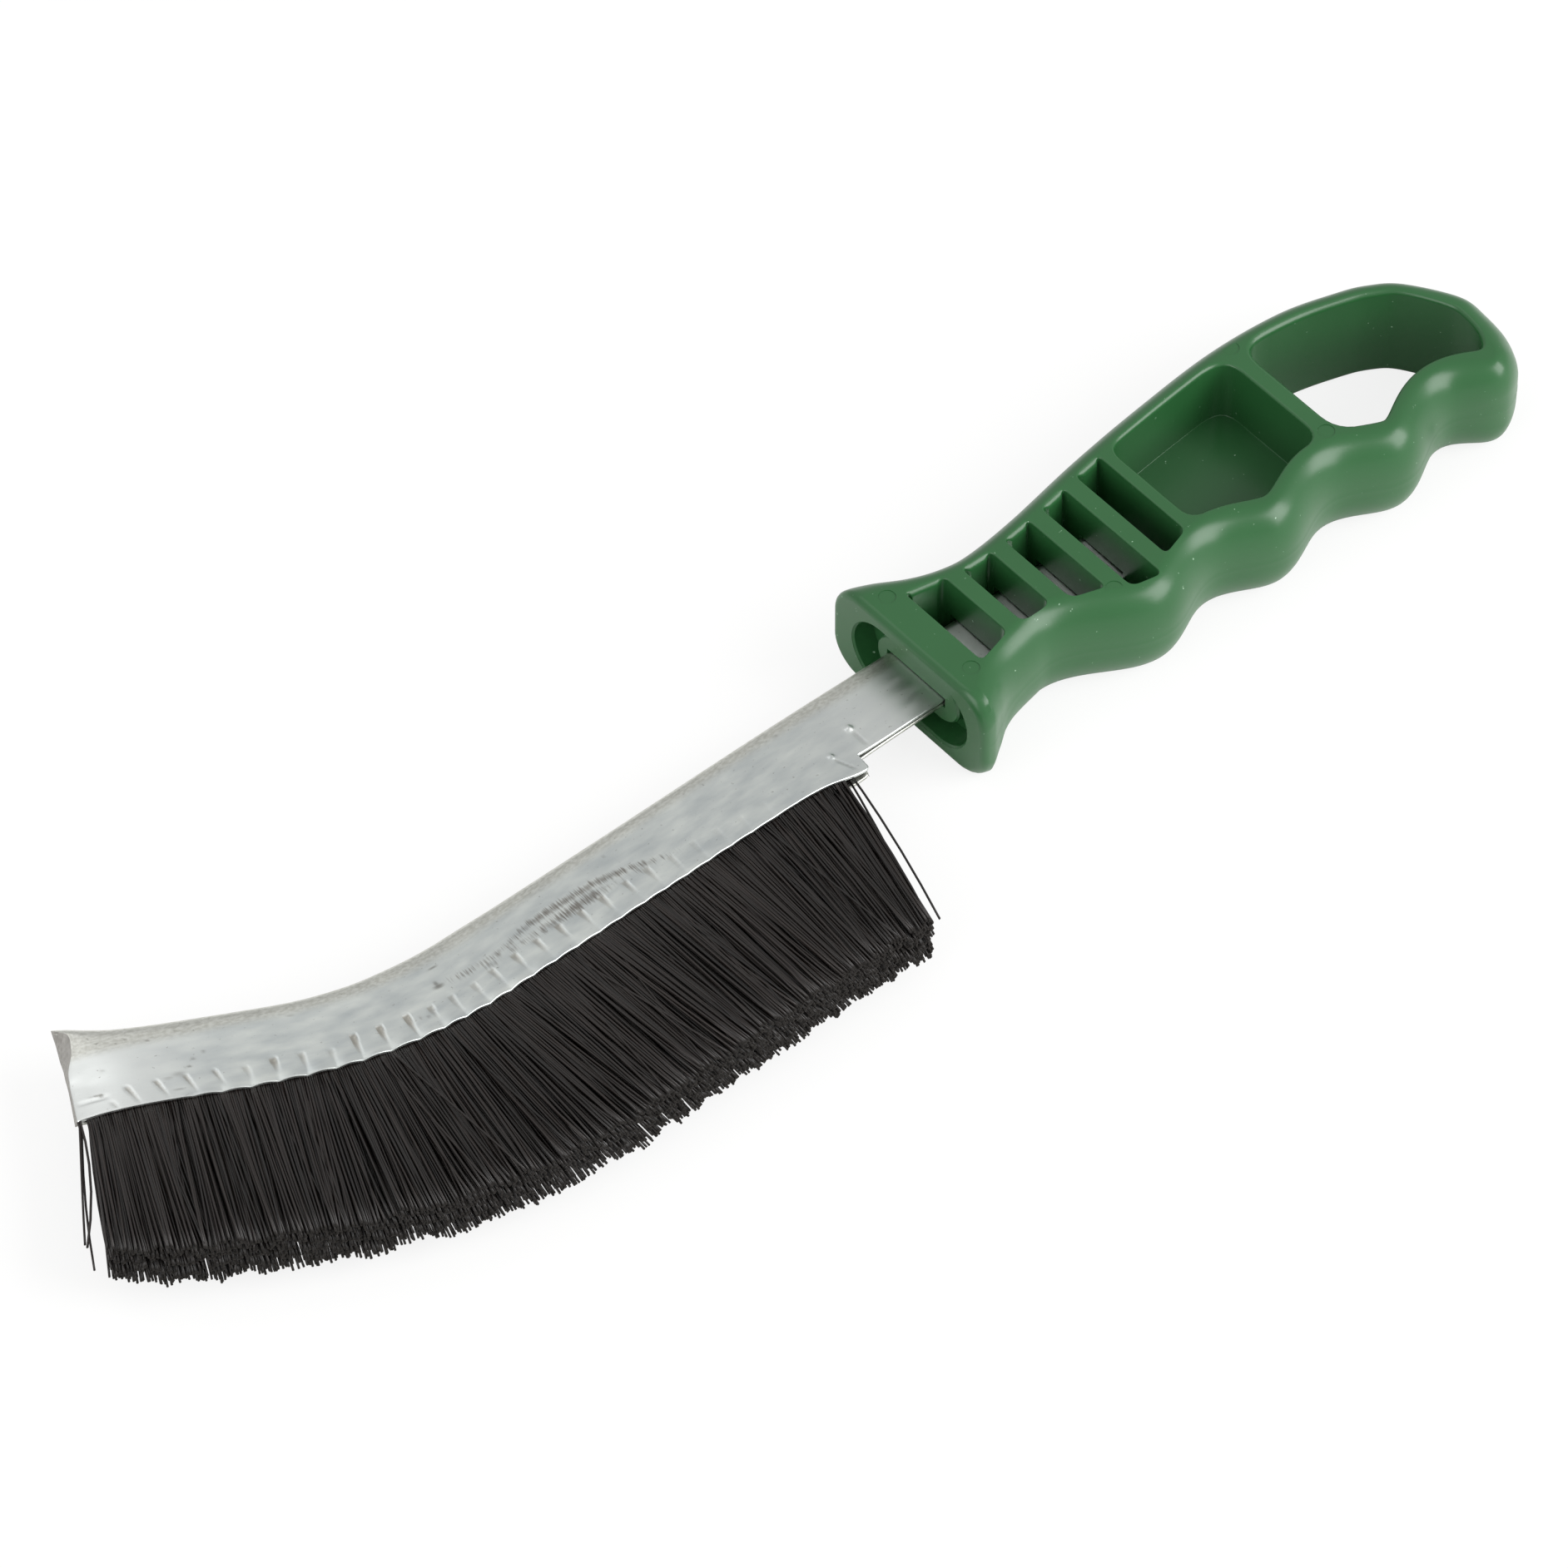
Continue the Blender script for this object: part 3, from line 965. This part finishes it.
def filleted(outline, back_fillet, side_fillet, foot, foot_radius=0):
    """A cutter from the upper side face to a foot, its rim flared by a fillet, widest on the back edge."""
    count = len(outline)
    ways = [inward(outline[i - 1], outline[i], outline[(i + 1) % count]) for i in range(count)]
    facing_back = [max(0, -way.y) ** FILLET_NARROWING for way in ways]
    fillets = [side_fillet + (back_fillet - side_fillet) * share for share in facing_back]
    steepest = math.radians(FILLET_ANGLES[-1])
    above = []
    for point, way, fillet in zip(outline, ways, fillets):
        climb = RIM_CLIMB_SHARE * fillet + RIM_CLIMB
        out = climb * math.tan(steepest) - fillet * math.cos(steepest)
        height = HALF_THICKNESS - fillet + fillet * math.sin(steepest) + climb
        above.append(place(point - way * out, height))
    rings = [above]
    for angle in reversed(FILLET_ANGLES):
        turn = math.radians(angle)
        rings.append([
            place(point + way * fillet * math.cos(turn), HALF_THICKNESS - fillet + fillet * math.sin(turn))
            for point, way, fillet in zip(outline, ways, fillets)
        ])
    for angle in FOOT_ANGLES if foot_radius else FOOT_ANGLES[-1:]:
        turn = math.radians(angle)
        drawn_in = DRAFT + foot_radius * (1 - math.cos(turn))
        height = foot + foot_radius * (1 - math.sin(turn))
        rings.append([
            place(point + way * (fillet + drawn_in), height)
            for point, way, fillet in zip(outline, ways, fillets)
        ])
    return rings


def mirrored(rings):
    """The same rings on the other side of the middle plane."""
    return [[Vector((p.x, p.y, 2 * TOOL_AXIS.z - p.z)) for p in ring] for ring in reversed(rings)]


walls = []
for point in back[:-1]:
    share = max((BACK_RISE / 2 - point.y) / (BACK_RISE / 2 + BUTT_PEAK_DROP), 0)
    walls.append(BACK_WALL + (FINGER_WALL - BACK_WALL) * share)
walls += [FINGER_WALL] * len(fingers)
core = inset_line([*back[:-1], *fingers], walls)

x = FRONT_BAND
for width_share, backs, floors in zip(WINDOW_WIDTH_SHARES, WINDOW_BACK_SHARES, WINDOW_FLOOR_SHARES):
    start, x = x, x + width_share * WINDOW_WIDTH
    corners = [Vector((at, height_at(core, at) + share * BACK_WALL)) for at, share in zip((start, x), backs)]
    corners.append(Vector((x, height_at(fingers, x) + floors[1] * FINGER_WALL)))
    corners.append(Vector((start, height_at(fingers, start) + floors[0] * FINGER_WALL)))
    upper_half = filleted(rounded(corners, corners, [WINDOW_CORNER] * 4), *WINDOW_FILLETS, 0)
    cut_out(loft([*upper_half, *mirrored(upper_half)[1:]]))
    x += RIB_WIDTH


def steady(points, way):
    """The points without those that turn back along X or crowd the one before."""
    found = points[:1]
    for point in points[1:]:
        if (point.x - found[-1].x) * way > 0 and (point - found[-1]).length > LEAST_STEP:
            found.append(point)
    return found


def between(start, end):
    """The part of the handle's inset outline from one x to another, and its corners."""
    turn = max(range(len(core)), key=lambda i: core[i].x)
    head = Vector((start, height_at(core, start)))
    foot = Vector((start, height_at(core[::-1], start)))
    upper = [point for point in steady(core[:turn], 1) if start < point.x < end]
    lower = [point for point in steady(core[turn:], -1) if start < point.x < end]
    if end > core[turn].x:
        nook = min((point for point in lower if point.x > (start + end) / 2), key=lambda point: point.y)
        return [head, *upper, *lower, foot], [head, foot, nook]
    far_head = Vector((end, height_at(core, end)))
    far_foot = Vector((end, height_at(core[::-1], end)))
    return [head, *upper, far_head, far_foot, *lower, foot], [head, foot, far_head, far_foot]


pocket_end = HOLE_START_SHARE * HANDLE_LENGTH - HOLE_RIB_WIDTH
pocket = rounded(*between(x - RIB_WIDTH + POCKET_RIB_WIDTH, pocket_end), POCKET_CORNERS)
cut_out(loft(filleted(pocket, *POCKET_FILLETS, WEB_TOP, POCKET_FOOT_RADIUS)))
cut_out(loft(mirrored(filleted(pocket, *POCKET_FILLETS, WEB_THICKNESS - WEB_TOP, FAR_FOOT_RADIUS))))
hole = rounded(*between(HOLE_START_SHARE * HANDLE_LENGTH, HANDLE_LENGTH), HOLE_CORNERS)
upper_half = filleted(hole, *HOLE_FILLETS, 0)
cut_out(loft([*upper_half, *mirrored(upper_half)[1:]]))

# The oval groove round the boss in the front face, and the slot that the tang fills
OVAL_STEPS = 48
SOCKET_OVALS = (  # from the groove's mouth round to the top of the boss: depth, height and width in mm
    (-2.0, 27.2, 14.0), (0.05, 26.9, 13.7), (0.35, 26.3, 13.1), (4.2, 26.0, 12.8),
    (4.2, 19.2, 9.2), (2.0, 18.9, 8.9), (1.7, 18.3, 8.3),
)
SLOT_LEVELS = (  # from its inner end: depth, lower and upper edge and half width in mm
    (40.3, -4.6, 3.8, 1.9), (37.7, -6.4, 5.3, 1.9), (5.2, -6.4, 5.3, 1.9),
    (1.7, -6.4, 7.1, 1.05), (-2.0, -6.4, 7.1, 1.05),
)


def oval(x, height, width):
    """An upright oval with round ends, square to the axis."""
    radius = width / 2
    ring = []
    for i in range(OVAL_STEPS):
        angle = 2 * math.pi * (i + 0.5) / OVAL_STEPS
        y = radius * math.sin(angle) + math.copysign(height / 2 - radius, math.sin(angle))
        ring.append(TOOL_AXIS + Vector((x, y, radius * math.cos(angle))))
    return ring


cut_out(loft([oval(depth * MM, height * MM, width * MM) for depth, height, width in SOCKET_OVALS]))
cut_out(loft([
    [TOOL_AXIS + Vector((x, y, z)) * MM for y, z in ((low, -half), (high, -half), (high, half), (low, half))]
    for x, low, high, half in SLOT_LEVELS
]))
for x, y in PIN_MARKS:
    bm = bmesh.new()
    bmesh.ops.create_cone(
        bm, cap_ends=True, segments=32, radius1=PIN_MARK_RADIUS, radius2=PIN_MARK_RADIUS,
        depth=2 * PIN_MARK_DEPTH)
    bmesh.ops.translate(bm, verts=bm.verts, vec=place(Vector((x * MM, y * MM)), HALF_THICKNESS))
    cut_out(bm)

bpy.context.view_layer.update()
depsgraph = bpy.context.evaluated_depsgraph_get()
cut_mesh = bpy.data.meshes.new_from_object(moulding.evaluated_get(depsgraph))
moulding.modifiers.clear()
moulding.data = cut_mesh
cut_mesh.name = "handle_moulding"
for cutter in cutters:
    bpy.data.objects.remove(cutter)
cut_mesh.shade_smooth()
cut_mesh.set_sharp_from_angle(angle=SMOOTH_ANGLE)
weighted = moulding.modifiers.new("flat_faces_stay_flat", "WEIGHTED_NORMAL")
weighted.keep_sharp = True
weighted.weight = 80
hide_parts("handle")

# Moulded polypropylene: leaf green, mottled over some 17 mm, semi-gloss over the mould's spark-eroded grain,
# with pale dust. The real grain is under 0.1 mm, too fine to show, so it is drawn at 0.4 mm.
MOTTLE = 16.667 * MM
DUST = 0.8696 * MM
EROSION = 0.3846 * MM
green, shader = new_material("moulded_polypropylene")
spot = add_node(green, "ShaderNodeTexCoord", {})
mottle = add_node(green, "ShaderNodeTexNoise", {
    "Vector": spot.outputs["Object"], "Scale": 1 / MOTTLE, "Detail": 4.0})
tone = add_node(green, "ShaderNodeMix", {
    0: mottle.outputs[0], 6: colour("#24532C"), 7: colour("#2A5D33")}, data_type="RGBA")
dust = add_node(green, "ShaderNodeTexNoise", {
    "Vector": spot.outputs["Object"], "Scale": 1 / DUST, "Detail": 2.0, "Roughness": 0.6})
dust_cut = add_node(green, "ShaderNodeMapRange", {0: dust.outputs[0], 1: 0.73, 2: 0.79, 4: 0.8})
dusty = add_node(green, "ShaderNodeMix", {
    0: dust_cut.outputs[0], 6: tone.outputs[2], 7: colour("#A9C9AE")}, data_type="RGBA")
green.node_tree.links.new(dusty.outputs[2], shader.inputs["Base Color"])
erosion = add_node(green, "ShaderNodeTexNoise", {
    "Vector": spot.outputs["Object"], "Scale": 1 / EROSION, "Detail": 3.0})
erosion_bump = add_node(green, "ShaderNodeBump", {
    "Height": erosion.outputs[0], "Strength": 0.12, "Distance": 0.06 * MM})
green.node_tree.links.new(erosion_bump.outputs[0], shader.inputs["Normal"])
shader.inputs["Roughness"].default_value = 0.30
shader.inputs["IOR"].default_value = 1.49
moulding.data.materials.clear()
moulding.data.materials.append(green)


# The studio
# The brush lies on a plain pale sheet. A wide soft light stands at its front right, a weaker one at its left,
# and a faint one hangs behind it for the sheared end of the steel to reflect.
CAMERA_DISTANCE = 1.6
CAMERA_ELEVATION = math.radians(50)
CAMERA_AZIMUTH = math.radians(40.747)
AIM = TOOL_AXIS + Vector((-22.10, 3.72, -9.74)) * MM
FOCAL_SHARE = 12544 / 1884
SENSOR = 36.0
FLOOR_SIZE = 3.0

camera_data = bpy.data.cameras.new("camera")
camera_data.sensor_width = SENSOR
camera_data.sensor_fit = "AUTO"
camera_data.lens = FOCAL_SHARE * SENSOR
camera_data.clip_end = 20.0
camera = bpy.data.objects.new("camera", camera_data)
looking = Vector((
    math.sin(CAMERA_AZIMUTH) * math.cos(CAMERA_ELEVATION),
    math.cos(CAMERA_AZIMUTH) * math.cos(CAMERA_ELEVATION),
    -math.sin(CAMERA_ELEVATION),
))
camera.location = AIM - looking * CAMERA_DISTANCE
camera.rotation_euler = looking.to_track_quat("-Z", "Y").to_euler()
bpy.context.scene.collection.objects.link(camera)
bpy.context.scene.camera = camera

bm = bmesh.new()
bmesh.ops.create_grid(bm, x_segments=1, y_segments=1, size=FLOOR_SIZE)
floor_mesh = bpy.data.meshes.new("floor")
bm.to_mesh(floor_mesh)
bm.free()
floor = bpy.data.objects.new("floor", floor_mesh)
bpy.context.scene.collection.objects.link(floor)

# Matt white paper, lit up where the camera, a far reflection or glass sees it, so that it reads as white
paper, shader = new_material("matt_white_paper")
shader.inputs["Base Color"].default_value = colour("#F4F4F2")
shader.inputs["Roughness"].default_value = 0.9
shader.inputs["Specular IOR Level"].default_value = 0.1
path = add_node(paper, "ShaderNodeLightPath", {})
far_off = add_node(paper, "ShaderNodeMapRange", {0: path.outputs["Ray Length"], 1: 20 * MM, 2: 60 * MM})
mirrored_far = add_node(paper, "ShaderNodeMath", {
    0: path.outputs["Is Glossy Ray"], 1: far_off.outputs[0]}, operation="MULTIPLY")
seen = add_node(paper, "ShaderNodeMath", {
    0: path.outputs["Is Camera Ray"], 1: mirrored_far.outputs[0]}, operation="MAXIMUM")
seen = add_node(paper, "ShaderNodeMath", {
    0: seen.outputs[0], 1: path.outputs["Is Transmission Ray"]}, operation="MAXIMUM")
glow_share = add_node(paper, "ShaderNodeMath", {0: seen.outputs[0], 1: 0.82}, operation="MULTIPLY")
glow = add_node(paper, "ShaderNodeEmission", {"Color": (1, 1, 1, 1), "Strength": 1.0})
mixed = add_node(paper, "ShaderNodeMixShader", {
    0: glow_share.outputs[0], 1: shader.outputs[0], 2: glow.outputs[0]})
paper.node_tree.links.new(mixed.outputs[0], paper.node_tree.nodes["Material Output"].inputs["Surface"])
floor.data.materials.append(paper)


def soft_light(name, direction, distance, size, power):
    """A square soft light that faces the brush from a direction."""
    data = bpy.data.lights.new(name, "AREA")
    data.shape = "SQUARE"
    data.size = size
    data.energy = power
    light = bpy.data.objects.new(name, data)
    toward = Vector(direction).normalized()
    light.location = AIM + toward * distance
    light.rotation_euler = (-toward).to_track_quat("-Z", "Y").to_euler()
    bpy.context.scene.collection.objects.link(light)


soft_light("front_softbox", (0.47, -0.70, 0.54), distance=1.2, size=0.9, power=14.5)
soft_light("left_softbox", (-0.85, -0.10, 0.50), distance=1.2, size=0.8, power=5.0)
soft_light("overhead_softbox", (-0.12, 0.50, 0.86), distance=1.2, size=0.6, power=0.8)

world = bpy.data.worlds.new("studio")
world.use_nodes = True
sky = world.node_tree.nodes["Background"]
sky.inputs["Color"].default_value = (1, 1, 1, 1)
sky.inputs["Strength"].default_value = 0.66
bpy.context.scene.world = world
bpy.context.scene.view_settings.view_transform = "Standard"
